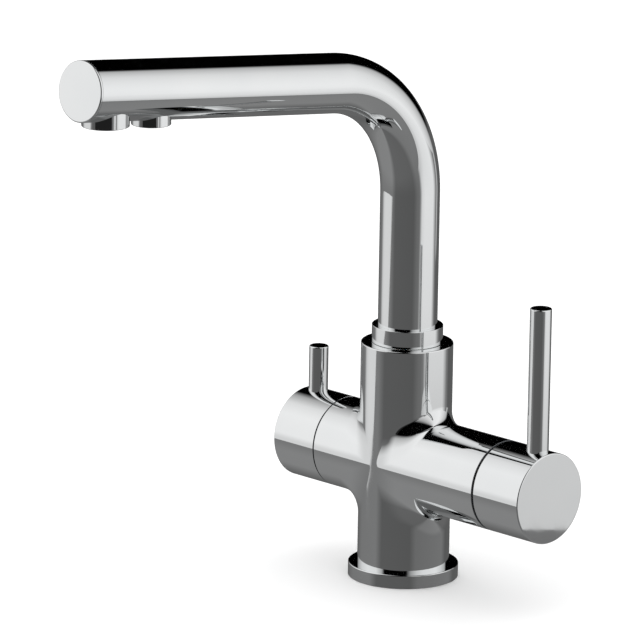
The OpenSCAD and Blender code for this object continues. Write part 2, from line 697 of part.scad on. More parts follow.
module spout_end_cap() color("gainsboro") spout_side() difference() {
    turned([[0, spout_l - end_cap_spigot], [spout_bore_r - seat_fit, spout_l - end_cap_spigot],
        [spout_bore_r - seat_fit, spout_l - end_cap_t], [spout_r, spout_l - end_cap_t],
        [spout_r, spout_l - edge_break / 2], [spout_r - edge_break / 2, spout_l], [0, spout_l]]);
    cylinder_from(spout_l - end_cap_spigot - 1, spout_l - 2 * end_cap_t, spout_bore_r - spout_wall);
}

module filtered_water_tube() color("whitesmoke") difference() {
    spout_path(hose_r, plug_body_top, filtered_s - elbow_r - tube_gap);
    spout_path(hose_bore_r, plug_body_top - 1, filtered_s - elbow_r + 1);
}

module filtered_tube_plug() color("goldenrod") difference() {
    union() {
        turned([[0, plug_bottom], [plug_r, plug_bottom], [plug_r, plug_body_top],
            [barb_r, plug_body_top], [barb_r, barb_top], [0, barb_top]]);
        for (a = [0, 120, 240]) rotate([0, 0, a])
            translate([plug_r - 1, -plug_fin_w / 2, plug_body_top - plug_fin_h])
                cube([foot_bore_r - plug_r + 1 - plug_fin_gap, plug_fin_w, plug_fin_h]);
    }
    cylinder_from(plug_bottom - 1, nipple_top + 1, nipple_r + running_fit);
    cylinder_from(nipple_top, barb_top + 1, filtered_way_r);
}

// Brass socket brazed into the underside of the spout, with a ledge for a washer
module outlet_socket(outlet_r, ledge) turned([[outlet_r - socket_wall - sleeve_wall - ledge_w, ledge],
    [outlet_r, ledge], [outlet_r, outlet_end - outlet_edge], [outlet_r - outlet_edge, outlet_end],
    [outlet_r - socket_wall, outlet_end], [outlet_r - socket_wall, ledge + washer_t],
    [outlet_r - socket_wall - sleeve_wall - ledge_w, ledge + washer_t]]);

module outlet_washer(outlet_r, ledge) turned([
    [outlet_r - socket_wall - sleeve_wall - ledge_w, ledge + washer_t],
    [outlet_r - socket_wall - seat_fit, ledge + washer_t],
    [outlet_r - socket_wall - seat_fit, ledge + 2 * washer_t],
    [outlet_r - socket_wall - sleeve_wall - ledge_w, ledge + 2 * washer_t]]);

// Threaded sleeve that holds the jet insert, screwed into the socket and just recessed
module outlet_housing(outlet_r, ledge) turned([
    [outlet_r - socket_wall - sleeve_wall, ledge + 2 * washer_t],
    [outlet_r - socket_wall - seat_fit, ledge + 2 * washer_t],
    [outlet_r - socket_wall - seat_fit, outlet_end - housing_recess - outlet_edge],
    [outlet_r - socket_wall - outlet_edge, outlet_end - housing_recess],
    [outlet_r - socket_wall - sleeve_wall, outlet_end - housing_recess]]);

// Plastic jet insert: a plate with two rings of holes, in a rim
module outlet_insert(outlet_r, ledge, jets) {
    insert_r = outlet_r - socket_wall - sleeve_wall - seat_fit;
    difference() {
        cylinder_from(ledge + 2 * washer_t, outlet_end - jet_recess, insert_r);
        cylinder_from(ledge, outlet_end - jet_recess - jet_plate_t, insert_r - sleeve_wall);
        for (i = [0 : jets - 1]) rotate([0, 0, i * 360 / jets])
            translate([insert_r - jet_rows[0], 0, ledge]) cylinder(r = jet_r, h = outlet_end);
        for (i = [0 : jets / 2 - 1]) rotate([0, 0, i * 720 / jets])
            translate([insert_r - jet_rows[1], 0, ledge]) cylinder(r = jet_r, h = outlet_end);
    }
}

module mixed_outlet_socket() color("goldenrod") outlet_side(mixed_s)
    outlet_socket(mixed_r, mixed_ledge);

module mixed_aerator_washer() color("black") outlet_side(mixed_s)
    outlet_washer(mixed_r, mixed_ledge);

module mixed_aerator_housing() color("gainsboro") outlet_side(mixed_s)
    outlet_housing(mixed_r, mixed_ledge);

module mixed_aerator_insert() color("whitesmoke") outlet_side(mixed_s)
    outlet_insert(mixed_r, mixed_ledge, 12);

// The filtered outlet's socket is closed above by an elbow with a spigot for the inner tube
module filtered_outlet_socket() color("goldenrod") difference() {
    union() {
        outlet_side(filtered_s) outlet_socket(filtered_r, filtered_ledge);
        outlet_side(filtered_s) cylinder_from(filtered_ledge - elbow_cap_t, filtered_ledge, filtered_r);
        outlet_side(filtered_s) cylinder_from(-elbow_up, filtered_ledge - elbow_cap_t / 2, elbow_r);
        spout_side() cylinder_from(filtered_s - elbow_r - barb_l, filtered_s, barb_r);
    }
    outlet_side(filtered_s) cylinder(r = filtered_way_r, h = filtered_ledge + 1);
    spout_side() cylinder_from(filtered_s - elbow_r - barb_l - 1, filtered_s, elbow_way_r);
}

module filtered_outlet_washer() color("black") outlet_side(filtered_s)
    outlet_washer(filtered_r, filtered_ledge);

module filtered_outlet_housing() color("gainsboro") outlet_side(filtered_s)
    outlet_housing(filtered_r, filtered_ledge);

module filtered_outlet_insert() color("whitesmoke") outlet_side(filtered_s)
    outlet_insert(filtered_r, filtered_ledge, 8);

body_casting();
base_ring();
base_gasket();
spout_glide_ring();
spout_retaining_screw();
filtered_nipple();
filtered_nipple_o_rings();
mixer_cartridge_housing();
mixer_cartridge_base();
mixer_port_seals();
mixer_fixed_disc();
mixer_cartridge_nut();
filter_valve_housing();
filter_valve_seat_washer();
filter_fixed_disc();
spout_tube();
spout_collar();
spout_foot();
spout_foot_o_rings();
spout_end_cap();
filtered_water_tube();
filtered_tube_plug();
mixed_outlet_socket();
mixed_aerator_washer();
mixed_aerator_housing();
mixed_aerator_insert();
filtered_outlet_socket();
filtered_outlet_washer();
filtered_outlet_housing();
filtered_outlet_insert();
mixer_cartridge_carrier();
mixer_pivot_pin();
mixer_carrier_o_ring();
mixer_moving_disc();
mixer_disc_coupler();
mixer_stem();
mixer_handle_cap();
mixer_lever_rod();
mixer_handle_screw();
filter_spindle();
filter_spindle_o_rings();
filter_moving_disc();
filter_handle_cap();
filter_lever_rod();
filter_handle_screw();
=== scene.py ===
import math

import bmesh
import bpy
from mathutils import Matrix, Vector, kdtree


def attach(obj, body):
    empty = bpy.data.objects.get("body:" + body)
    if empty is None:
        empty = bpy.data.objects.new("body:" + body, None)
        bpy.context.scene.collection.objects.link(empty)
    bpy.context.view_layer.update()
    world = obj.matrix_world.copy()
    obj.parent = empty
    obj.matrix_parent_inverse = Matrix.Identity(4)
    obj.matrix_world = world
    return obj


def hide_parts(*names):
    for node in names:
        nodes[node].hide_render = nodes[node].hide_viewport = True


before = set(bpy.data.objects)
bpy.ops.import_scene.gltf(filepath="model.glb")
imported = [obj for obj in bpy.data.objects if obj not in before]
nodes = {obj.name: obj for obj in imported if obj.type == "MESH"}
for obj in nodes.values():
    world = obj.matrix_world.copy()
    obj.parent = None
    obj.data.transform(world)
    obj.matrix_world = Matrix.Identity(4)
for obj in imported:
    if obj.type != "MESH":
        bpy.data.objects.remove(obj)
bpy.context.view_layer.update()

# The base ring is a turned brass disc, 52 mm across, that sits under the column and
# covers the tap hole. It is polished and chrome plated, with a softly broken top edge,
# and has a square groove in its underside for a rubber gasket.
mm = 0.001
near = 0.01 * mm
rim_width = 0.1 * mm
seat_fit = 0.03 * mm


def from_hex(code):
    channels = [int(code[i:i + 2], 16) / 255 for i in (0, 2, 4)]
    return [c / 12.92 if c <= 0.04045 else ((c + 0.055) / 1.055) ** 2.4 for c in channels] + [1]


def add_node(tree, kind, settings=(), **inputs):
    node = tree.nodes.new(kind)
    for name, value in dict(settings).items():
        setattr(node, name, value)
    for name, value in inputs.items():
        key = int(name[3:]) if name.startswith("in_") else name.replace("_", " ")
        if isinstance(value, bpy.types.NodeSocket):
            tree.links.new(value, node.inputs[key])
        else:
            node.inputs[key].default_value = value
    return node


def new_material(name):
    material = bpy.data.materials.new(name)
    material.use_nodes = True
    return material, material.node_tree, material.node_tree.nodes["Principled BSDF"]


def deselect_all():
    if bpy.context.mode != "OBJECT":
        bpy.ops.object.mode_set(mode="OBJECT")
    bpy.ops.object.select_all(action="DESELECT")


def select_only(piece):
    deselect_all()
    piece.select_set(True)
    bpy.context.view_layer.objects.active = piece


def start_from(add_primitive, **sizes):
    """Adds a primitive with nothing else selected, and puts its place into its mesh."""
    deselect_all()
    add_primitive(**sizes)
    bpy.ops.object.transform_apply(location=True, rotation=True, scale=True)
    return bpy.context.object


def edit(piece, kind="FACE"):
    select_only(piece)
    bpy.ops.object.mode_set(mode="EDIT")
    bpy.ops.mesh.select_mode(type=kind)
    bpy.ops.mesh.select_all(action="DESELECT")


def pick(piece, test, kind="FACE"):
    """Selects the faces or edges of a piece in edit mode that pass a test of them and their middle."""
    mesh = bmesh.from_edit_mesh(piece.data)
    items = {"FACE": mesh.faces, "EDGE": mesh.edges}[kind]
    bpy.ops.mesh.select_mode(type=kind)
    bpy.ops.mesh.select_all(action="DESELECT")
    for item in items:
        middle = sum((v.co for v in item.verts), Vector()) / len(item.verts)
        item.select_set(bool(test(item, middle)))
    mesh.select_flush_mode()
    bmesh.update_edit_mesh(piece.data)


def faces_down(face, middle):
    return face.normal.z < -0.9


def is_level(edge):
    return abs(edge.verts[0].co.z - edge.verts[1].co.z) < near


def extrude(shift):
    bpy.ops.mesh.extrude_region_move(TRANSFORM_OT_translate={"value": shift})


def add_modifier(piece, kind, **settings):
    select_only(piece)
    modifier = piece.modifiers.new(kind.lower(), kind)
    for name, value in settings.items():
        setattr(modifier, name, value)
    bpy.ops.object.modifier_apply(modifier=modifier.name)


def finish_piece(piece, name, body, material, stands_for):
    select_only(piece)
    bpy.ops.object.shade_smooth_by_angle(angle=math.radians(35))
    add_modifier(piece, "WEIGHTED_NORMAL", weight=100, keep_sharp=True)
    piece.name = name
    piece.data.name = name
    piece.data.materials.clear()
    piece.data.materials.append(material)
    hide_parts(stands_for)
    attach(piece, body)


# Bright decorative chrome over a nickel flash on polished brass: a cold, faintly blue
# mirror. Buffing leaves a haze a few millimetres across and waves that bend a
# reflection by less than a degree; fingers leave slightly duller patches.
chrome, tree, shader = new_material("bright_chrome_plate")
shader.inputs["Metallic"].default_value = 1
place = add_node(tree, "ShaderNodeTexCoord").outputs["Object"]
buffing_haze = add_node(tree, "ShaderNodeTexNoise", Vector=place, Scale=1 / (9 * mm), Detail=4.0,
                        Roughness=0.6)
finger_dulling = add_node(tree, "ShaderNodeTexNoise", Vector=place, Scale=1 / (30 * mm), Detail=2.0)
dulling = add_node(tree, "ShaderNodeMath", {"operation": "MULTIPLY"},
                   in_0=buffing_haze.outputs["Fac"], in_1=finger_dulling.outputs["Fac"])
mirror_roughness = add_node(tree, "ShaderNodeMapRange", in_0=dulling.outputs["Value"], in_1=0.15, in_2=0.4,
                            in_3=0.018, in_4=0.05)
tree.links.new(mirror_roughness.outputs["Result"], shader.inputs["Roughness"])
plate_tone = add_node(tree, "ShaderNodeMix", {"data_type": "RGBA"}, in_0=finger_dulling.outputs["Fac"],
                      in_6=from_hex("E9EBEC"), in_7=from_hex("F0F1F1"))
tree.links.new(plate_tone.outputs[2], shader.inputs["Base Color"])
buffing_waves = add_node(tree, "ShaderNodeTexNoise", Vector=place, Scale=1 / (7 * mm), Detail=1.0)
soft_waves = add_node(tree, "ShaderNodeBump", Strength=1.0, Distance=0.0012 * mm,
                      Height=buffing_waves.outputs["Fac"])
tree.links.new(soft_waves.outputs["Normal"], shader.inputs["Normal"])

foot_r = 19 * mm
base_ring_r = 26 * mm
base_ring_t = 6.4 * mm
base_ring_edge_break = 0.45 * mm
gasket_mid_r = (foot_r + base_ring_r) / 2
gasket_w = 2.6 * mm
gasket_t = 2 * mm


def in_groove(face, middle):
    return faces_down(face, middle) and abs(middle.xy.length - gasket_mid_r) < gasket_w / 4


ring = start_from(bpy.ops.mesh.primitive_cylinder_add, vertices=160, radius=base_ring_r, depth=base_ring_t,
                  end_fill_type="NOTHING", location=(0, 0, base_ring_t / 2))
add_modifier(ring, "SOLIDIFY", thickness=base_ring_r - foot_r - seat_fit, offset=-1.0)
edit(ring)
pick(ring, faces_down)
bpy.ops.mesh.inset(thickness=(base_ring_r - foot_r - gasket_w) / 2)
pick(ring, in_groove)
extrude((0, 0, gasket_t))
pick(ring, lambda edge, middle: middle.z > base_ring_t - near and is_level(edge)
     and middle.xy.length > base_ring_r - rim_width, "EDGE")
bpy.ops.mesh.bevel(offset=base_ring_edge_break, segments=4, affect="EDGES")
finish_piece(ring, "base_ring_turned", "tap_body", chrome, "base_ring")

# The gasket is a flat ring of black nitrile rubber, moulded with a low rounded lip and
# pressed into the base ring's groove, so that water can't run down the tap hole.
face_gap = 0.01 * mm
gasket_lip_w = 0.5 * mm
gasket_lip_h = 0.4 * mm
moulded_edge = 0.12 * mm


def mottled(name, spot, detail, tones, roughness, **inputs):
    """A material whose tone and roughness wander between two values each, in spots of one size."""
    material, tree, shader = new_material(name)
    for key, value in inputs.items():
        shader.inputs[key.replace("_", " ")].default_value = value
    place = add_node(tree, "ShaderNodeTexCoord").outputs["Object"]
    spots = add_node(tree, "ShaderNodeTexNoise", Vector=place, Scale=1 / spot, Detail=detail).outputs["Fac"]
    tone = add_node(tree, "ShaderNodeMix", {"data_type": "RGBA"}, in_0=spots,
                    in_6=from_hex(tones[0]), in_7=from_hex(tones[1]))
    tree.links.new(tone.outputs[2], shader.inputs["Base Color"])
    gloss = add_node(tree, "ShaderNodeMapRange", in_0=spots, in_3=roughness[0], in_4=roughness[1])
    tree.links.new(gloss.outputs["Result"], shader.inputs["Roughness"])
    return material, tree, shader, place


rubber, tree, shader, place = mottled("moulded_nitrile_rubber", 2.5 * mm, 5.0, ("151515", "2B2B2A"),
                                      (0.48, 0.72), IOR=1.52)
mould_grain = add_node(tree, "ShaderNodeTexNoise", Vector=place, Scale=1 / (0.25 * mm), Detail=2.0)
rubber_bump = add_node(tree, "ShaderNodeBump", Strength=0.4, Distance=0.02 * mm,
                       Height=mould_grain.outputs["Fac"])
tree.links.new(rubber_bump.outputs["Normal"], shader.inputs["Normal"])

gasket = start_from(bpy.ops.mesh.primitive_cylinder_add, vertices=128,
                    radius=gasket_mid_r + gasket_w / 2 - seat_fit, depth=gasket_t - 2 * face_gap,
                    end_fill_type="NOTHING", location=(0, 0, gasket_t / 2))
add_modifier(gasket, "SOLIDIFY", thickness=gasket_w - 2 * seat_fit, offset=-1.0)
edit(gasket)
pick(gasket, faces_down)
bpy.ops.mesh.inset(thickness=gasket_lip_w)
pick(gasket, in_groove)
extrude((0, 0, gasket_lip_h))
bpy.ops.mesh.select_all(action="SELECT")
bpy.ops.mesh.bevel(offset=moulded_edge, segments=2, affect="EDGES", clamp_overlap=True)
finish_piece(gasket, "base_gasket_moulded", "tap_body", rubber, "base_gasket")

# The body is one brass casting: an upright column, 43.4 mm across, with an arm for the
# mixer and a shorter arm for filtered water. It is bored and threaded, its ends are
# turned, and the roots of the arms are blended by linishing before the plating.
column_r = 21.7 * mm
column_top = 113.4 * mm
arm_r = 21.55 * mm
arm_z = 56.6 * mm
mixer_arm_end = 64.4 * mm
filter_arm_end = 39.5 * mm
edge_break = 0.6 * mm
seam_edge_break = 0.2 * mm
blend_r = 9.75 * mm
blend_tighter_on_top = 2.25 * mm
blend_wider_at_sides = 3.4
loop_steps = 192
blend_steps = 14
crossing_steps = 6
above_arms = 95 * mm
below_arms = 18 * mm

# Three rings round an edge off: how far below its end and how far inwards each one lies,
# as shares of the edge's break.
rounded_edge = ((0.45, 0.1), (0.1, 0.45), (0, 1))

mesh = bmesh.new()
skin_normals = []


def blend_radius(angle):
    """Radius of the blend at an angle round the arm, 90 degrees at the top, larger at its sides."""
    at_top = blend_r - blend_tighter_on_top * math.sin(angle)
    return at_top * (1 + blend_wider_at_sides * math.cos(angle) ** 6)


def arm_skin(side, end):
    """Rings of points from the column, over the blend and along an arm to its bored end."""
    rings = [[] for _ in range(blend_steps + 1)]
    for i in range(loop_steps):
        angle = 2 * math.pi * i / loop_steps
        ball = blend_radius(angle)
        y = -(arm_r + ball) * math.cos(angle)
        z = (arm_r + ball) * math.sin(angle)
        centre = Vector((side * math.sqrt((column_r + ball) ** 2 - y * y), y, z))
        to_column = Vector((-centre.x, -centre.y, 0)).normalized()
        to_arm = Vector((0, -y, -z)).normalized()
        for step in range(blend_steps + 1):
            spoke = to_column.slerp(to_arm, step / blend_steps)
            rings[step].append(centre + spoke * ball + Vector((0, 0, arm_z)))
            skin_normals.append((rings[step][-1], -spoke))
    root = rings[-1]
    straight_end = side * (end - seam_edge_break)
    for share in (0.5, 1):
        rings.append([Vector((p.x + (straight_end - p.x) * share, p.y, p.z)) for p in root])
        skin_normals.extend((p, Vector((0, p.y, p.z - arm_z)).normalized()) for p in rings[-1])
    for below, inwards in rounded_edge:
        x = side * (end - below * seam_edge_break)
        shrink = (arm_r - inwards * seam_edge_break) / arm_r
        rings.append([Vector((x, p.y * shrink, arm_z + (p.z - arm_z) * shrink)) for p in root])
    return rings


def join_rings(low, high, flip=False):
    """Lays a strip of faces between two rings with equally many points."""
    count = len(low)
    for i in range(count):
        corners = [low[i], low[(i + 1) % count], high[(i + 1) % count], high[i]]
        mesh.faces.new(corners[::-1] if flip else corners)


def add_rings(rings, flip):
    rows = [[mesh.verts.new(p) for p in ring_points] for ring_points in rings]
    for low, high in zip(rows, rows[1:]):
        join_rings(low, high, flip)
    return rows


mixer_rows = add_rings(arm_skin(1, mixer_arm_end), False)
filter_rows = add_rings(arm_skin(-1, filter_arm_end), True)
mesh.faces.new(mixer_rows[-1])
mesh.faces.new(filter_rows[-1][::-1])


def at_column(point, z, inset=0.0):
    """The point on the column's skin, or inside it, that lies in a point's direction at a height."""
    return mesh.verts.new(point.xy.to_3d().normalized() * (column_r - inset) + Vector((0, 0, z)))


def crossing(start, end):
    """Points on the column between the two rims, where the arms meet side by side."""
    return [at_column(start.co.lerp(end.co, i / crossing_steps), arm_z) for i in range(1, crossing_steps)]


def column_ring(rim, z, inset=0.0):
    return [at_column(v.co, z, inset) for v in rim]


# The column's skin is laid in upright strips that end on the rims of the two blends.
half = loop_steps // 2
back = crossing(mixer_rows[0][half], filter_rows[0][half])
front = crossing(filter_rows[0][0], mixer_rows[0][0])
upper_rim = [mixer_rows[0][i] for i in range(0, half + 1)] + back
upper_rim += [filter_rows[0][i] for i in range(half, -1, -1)] + front
lower_rim = [mixer_rows[0][-i % loop_steps] for i in range(0, half + 1)] + back
lower_rim += [filter_rows[0][-i % loop_steps] for i in range(half, -1, -1)] + front

rows = [upper_rim, column_ring(upper_rim, above_arms), column_ring(upper_rim, column_top - edge_break)]
for below, inwards in rounded_edge:
    rows.append(column_ring(upper_rim, column_top - below * edge_break, inwards * edge_break))
for low, high in zip(rows, rows[1:]):
    join_rings(low, high)
mesh.faces.new(rows[-1])
rows = [lower_rim, column_ring(lower_rim, below_arms), column_ring(lower_rim, base_ring_t)]
rows.append(column_ring(lower_rim, base_ring_t, column_r - foot_r))
rows.append(column_ring(lower_rim, 0, column_r - foot_r))
for high, low in zip(rows, rows[1:]):
    join_rings(low, high)
mesh.faces.new(rows[-1][::-1])
bmesh.ops.remove_doubles(mesh, verts=mesh.verts, dist=0.0005 * mm)
bmesh.ops.recalc_face_normals(mesh, faces=mesh.faces)
casting_mesh = bpy.data.meshes.new("casting")
mesh.to_mesh(casting_mesh)
mesh.free()
casting = bpy.data.objects.new("casting", casting_mesh)
bpy.context.scene.collection.objects.link(casting)

# The swivel's bore opens at the top, the cartridge's and the headwork's in the arms, and
# the threads for three hoses and two studs in the foot. A drill starts well outside.
past = 5 * mm
swivel_bore_r = 12 * mm
swivel_bore_floor = 88 * mm
cartridge_bore_r = 17.33 * mm
cartridge_bore_floor = 23.4 * mm
headwork_rim_r = 17.6 * mm
headwork_rim_floor = 36.5 * mm
headwork_bore_r = 10.43 * mm
headwork_bore_floor = 30 * mm
screw_hole_r = 2.5 * mm
screw_hole_z = 107.6 * mm
screw_hole_floor = 15 * mm
hose_thread_r = 5 * mm
hose_thread_l = 12 * mm
hose_places = ((10 * mm, 7.5 * mm), (10 * mm, -7.5 * mm), (-12 * mm, 0))
waterway_r = 3 * mm
waterway_top = 40 * mm
stud_thread_r = 4 * mm
stud_thread_l = 14 * mm
stud_y = 13 * mm


def on_arm(x, up=0):
    """The point x along the axis of the arms, or that far above it."""
    return x, 0, arm_z + up


def hollow(piece, tool):
    """Cuts the tool's shape out of a piece."""
    add_modifier(piece, "BOOLEAN", operation="DIFFERENCE", solver="EXACT", object=tool)
    bpy.data.objects.remove(tool)


def bore(piece, radius, start, end, vertices=96):
    """Drills a round hole from one point to another."""
    start, end = Vector(start), Vector(end)
    drill = start_from(bpy.ops.mesh.primitive_cylinder_add, vertices=vertices, radius=radius,
                       depth=(end - start).length, location=(start + end) / 2,
                       rotation=(end - start).to_track_quat("Z", "Y").to_euler())
    hollow(piece, drill)


bore(casting, swivel_bore_r, (0, 0, swivel_bore_floor), (0, 0, column_top + past))
bore(casting, cartridge_bore_r, on_arm(cartridge_bore_floor), on_arm(mixer_arm_end + past))
bore(casting, headwork_rim_r, on_arm(-headwork_rim_floor), on_arm(-filter_arm_end - past))
bore(casting, headwork_bore_r, on_arm(-headwork_bore_floor), on_arm(-filter_arm_end - past))
bore(casting, screw_hole_r, (0, screw_hole_floor, screw_hole_z), (0, column_r + past, screw_hole_z), 48)
for x, y in hose_places:
    bore(casting, hose_thread_r, (x, y, -past), (x, y, hose_thread_l), 48)
    bore(casting, waterway_r, (x, y, hose_thread_l - past), (x, y, waterway_top), 32)
for y in (-stud_y, stud_y):
    bore(casting, stud_thread_r, (0, y, -past), (0, y, stud_thread_l), 48)
finish_piece(casting, "body_casting_blended", "tap_body", chrome, "body_casting")

# Linishing leaves the casting's skin truly round, so its corners take the exact normals of
# the column, the blends and the arms, wherever they lie on one of them.
known_skin = kdtree.KDTree(len(skin_normals))
for index, (point, _) in enumerate(skin_normals):
    known_skin.insert(point, index)
known_skin.balance()
corner_normals = [corner.vector.copy() for corner in casting.data.corner_normals]
for face in casting.data.polygons:
    for corner in face.loop_indices:
        point = casting.data.vertices[casting.data.loops[corner].vertex_index].co
        _, index, gap = known_skin.find(point)
        true_normal = skin_normals[index][1] if gap < near else point.xy.to_3d().normalized()
        on_skin = gap < near or abs(point.xy.length - column_r) < near
        if on_skin and true_normal.dot(face.normal) > 0.9:
            corner_normals[corner] = true_normal
casting.data.normals_split_custom_set(corner_normals)

# The arms' turned ends face the handle caps across narrow seams. Hardly any chrome reaches
# them when the casting is plated, so they show a thin, dull nickel. Its tone is also darkened
# as painted shade, for the shadow that falls inside the seams.
turned_end_depth = 0.15 * mm
# The dark grey tone is partly the dull nickel and partly painted shade for the seams' shadow.
seam_nickel_and_painted_shade = mottled("thin_nickel_and_painted_seam_shade", 3 * mm, 3.0, ("84878A", "979A9D"), (0.4, 0.55), Metallic=1)[0]
casting.data.materials.append(seam_nickel_and_painted_shade)
for face in casting.data.polygons:
    if not turned_end_depth - filter_arm_end <= face.center.x <= mixer_arm_end - turned_end_depth:
        face.material_index = 1

# The collar is a short turned sleeve, pressed on the foot of the spout tube. It is
# chrome plated brass, and a thin skirt below it hides the swivel's plastic ring.
spout_r = 14 * mm
collar_r = 16.75 * mm
collar_bottom = 114.2 * mm
collar_top = 121.8 * mm
collar_skirt_w = 0.5 * mm
collar_skirt_l = 0.7 * mm
collar_edge_break = 0.25 * mm
collar = start_from(bpy.ops.mesh.primitive_cylinder_add, vertices=160, radius=collar_r,
                    depth=collar_top - collar_bottom, end_fill_type="NOTHING",
                    location=(0, 0, (collar_top + collar_bottom) / 2))
add_modifier(collar, "SOLIDIFY", thickness=collar_r - spout_r - seat_fit, offset=-1.0)
edit(collar)
pick(collar, faces_down)
bpy.ops.mesh.inset(thickness=collar_skirt_w)
pick(collar, lambda face, middle: faces_down(face, middle) and middle.xy.length > collar_r - collar_skirt_w)
extrude((0, 0, -collar_skirt_l))
pick(collar, lambda edge, middle: is_level(edge) and middle.xy.length > collar_r - rim_width, "EDGE")
bpy.ops.mesh.bevel(offset=collar_edge_break, segments=3, affect="EDGES")
finish_piece(collar, "spout_collar_turned", "spout", chrome, "spout_collar")

# The spout is one length of drawn brass tube, 28 mm across with a 1.4 mm wall. It is
# bent through 83 degrees on a mandrel, so that it rises 7 degrees to its tip, then
# polished and plated. Two round holes in its underside take the outlet sockets.
spout_wall = 1.4 * mm
tube_bottom = 116.5 * mm
spout_rise = math.radians(7)
bend_r = 60 * mm
spout_axis_z = 238.6 * mm
spout_l = 212.6 * mm
end_cap_t = 1.2 * mm
mixed_s = 196.6 * mm
mixed_r = 10.9 * mm
mixed_socket_top = 6.5 * mm
filtered_s = 168.3 * mm
filtered_r = 9.1 * mm
filtered_socket_top = 8 * mm
outlets = ((mixed_s, mixed_r, mixed_socket_top), (filtered_s, filtered_r, filtered_socket_top))
outlet_hole_depth = 25 * mm
turn = math.pi / 2 - spout_rise
straight_start = bend_r * math.tan(turn / 2)
bend_z = spout_axis_z - straight_start
along = Vector((0, -math.cos(spout_rise), math.sin(spout_rise)))
down = Vector((0, 0, -1))
spout_origin = Vector((0, 0, spout_axis_z))


def on_spout(s):
    """The point on the sloping tube's axis, s from where that axis meets the column's."""
    return spout_origin + along * s


spout_tube = start_from(bpy.ops.mesh.primitive_circle_add, vertices=160, radius=spout_r,
                        location=(0, 0, tube_bottom))
edit(spout_tube, "EDGE")
bpy.ops.mesh.select_all(action="SELECT")
for _ in range(2):
    extrude((0, 0, (bend_z - tube_bottom) / 2))
bpy.ops.mesh.spin(steps=64, angle=turn, center=(0, -bend_r, bend_z), axis=(-1, 0, 0))
for _ in range(4):
    extrude(along * ((spout_l - end_cap_t - straight_start) / 4))
edit(spout_tube)
bpy.ops.mesh.select_all(action="SELECT")
bpy.ops.mesh.normals_make_consistent(inside=False)
add_modifier(spout_tube, "SOLIDIFY", thickness=spout_wall, offset=-1.0, use_even_offset=True)
for s, outlet_r, _ in outlets:
    bore(spout_tube, outlet_r + seat_fit, on_spout(s), on_spout(s) + down * outlet_hole_depth, 128)
finish_piece(spout_tube, "spout_tube_bent", "spout", chrome, "spout_tube")

# The tip is closed by a turned disc with a spigot, soldered in so that only a hairline
# seam shows at its rim. Its face is polished flat.
spigot_l = 3.8 * mm
spigot_wall = 1.4 * mm
spigot_hollow_l = 2.6 * mm
tip_edge_break = 0.65 * mm
hairline_break = 0.12 * mm


def along_spout(point):
    return (point - spout_origin).dot(along)


end_cap = start_from(bpy.ops.mesh.primitive_cylinder_add, vertices=160, radius=spout_r, depth=end_cap_t,
                     location=on_spout(spout_l) - along * end_cap_t / 2,
                     rotation=along.to_track_quat("Z", "Y").to_euler())
edit(end_cap)
pick(end_cap, lambda face, middle: face.normal.dot(along) < -0.9)
bpy.ops.mesh.inset(thickness=spout_wall + seat_fit)
extrude(-along * spigot_l)
bpy.ops.mesh.inset(thickness=spigot_wall)
extrude(along * spigot_hollow_l)
pick(end_cap, lambda edge, middle: along_spout(middle) > spout_l - near, "EDGE")
bpy.ops.mesh.bevel(offset=tip_edge_break, segments=4, affect="EDGES")
pick(end_cap, lambda edge, middle: abs(along_spout(middle) - spout_l + end_cap_t) < near
     and (middle - on_spout(along_spout(middle))).length > spout_r - rim_width, "EDGE")
bpy.ops.mesh.bevel(offset=hairline_break, segments=2, affect="EDGES")
finish_piece(end_cap, "spout_end_cap_turned", "spout", chrome, "spout_end_cap")

# The two outlet sockets are turned brass, brazed through the tube's underside so that
# they stand straight down, and plated with it. Each has a shoulder inside for a washer.
outlet_end = 16 * mm
socket_wall = 1.7 * mm
shoulder_t = 1.2 * mm
socket_edge_break = 0.3 * mm


def outlet_cylinder(s, radius, start, end, vertices=128, fill="NGON"):
    """An upright cylinder under the spout, between two depths below the tube's axis."""
    return start_from(bpy.ops.mesh.primitive_cylinder_add, vertices=vertices, radius=radius,
                      depth=end - start, end_fill_type=fill, location=on_spout(s) + down * (start + end) / 2)


def runs_round(edge, s, most=near):
    """Whether an edge runs round an outlet's axis, rather than in or out."""
    first, second = ((v.co - on_spout(s)).xy.length for v in edge.verts)
    return abs(first - second) < most


for name, (s, outlet_r, top) in zip(("mixed_outlet_socket", "filtered_outlet_socket"), outlets):
    socket = outlet_cylinder(s, outlet_r, top, outlet_end)
    rim_z = on_spout(s).z - outlet_end
    edit(socket)
    pick(socket, faces_down)
    bpy.ops.mesh.inset(thickness=socket_wall)
    extrude((0, 0, outlet_end - top - shoulder_t))
    pick(socket, lambda edge, middle: abs(middle.z - rim_z) < near
         and runs_round(edge, s, rim_width), "EDGE")
    bpy.ops.mesh.bevel(offset=socket_edge_break, segments=3, affect="EDGES")
    finish_piece(socket, name + "_turned", "spout", chrome, name)

# A washer of moulded nitrile rubber lies on each socket's shoulder. The jet pieces are
# screwed up against it, and it seals them.
washer_t = 1.2 * mm
washer_w = 1.57 * mm
for name, (s, outlet_r, top) in zip(("mixed_aerator_washer", "filtered_outlet_washer"), outlets):
    shoulder = top + shoulder_t
    washer = outlet_cylinder(s, outlet_r - socket_wall - seat_fit, shoulder + face_gap,
                             shoulder + washer_t - face_gap, 96, "NOTHING")
    add_modifier(washer, "SOLIDIFY", thickness=washer_w, offset=-1.0)
    edit(washer)
    bpy.ops.mesh.select_all(action="SELECT")
    bpy.ops.mesh.bevel(offset=moulded_edge, segments=2, affect="EDGES")
    finish_piece(washer, name + "_moulded", "spout", rubber, name)

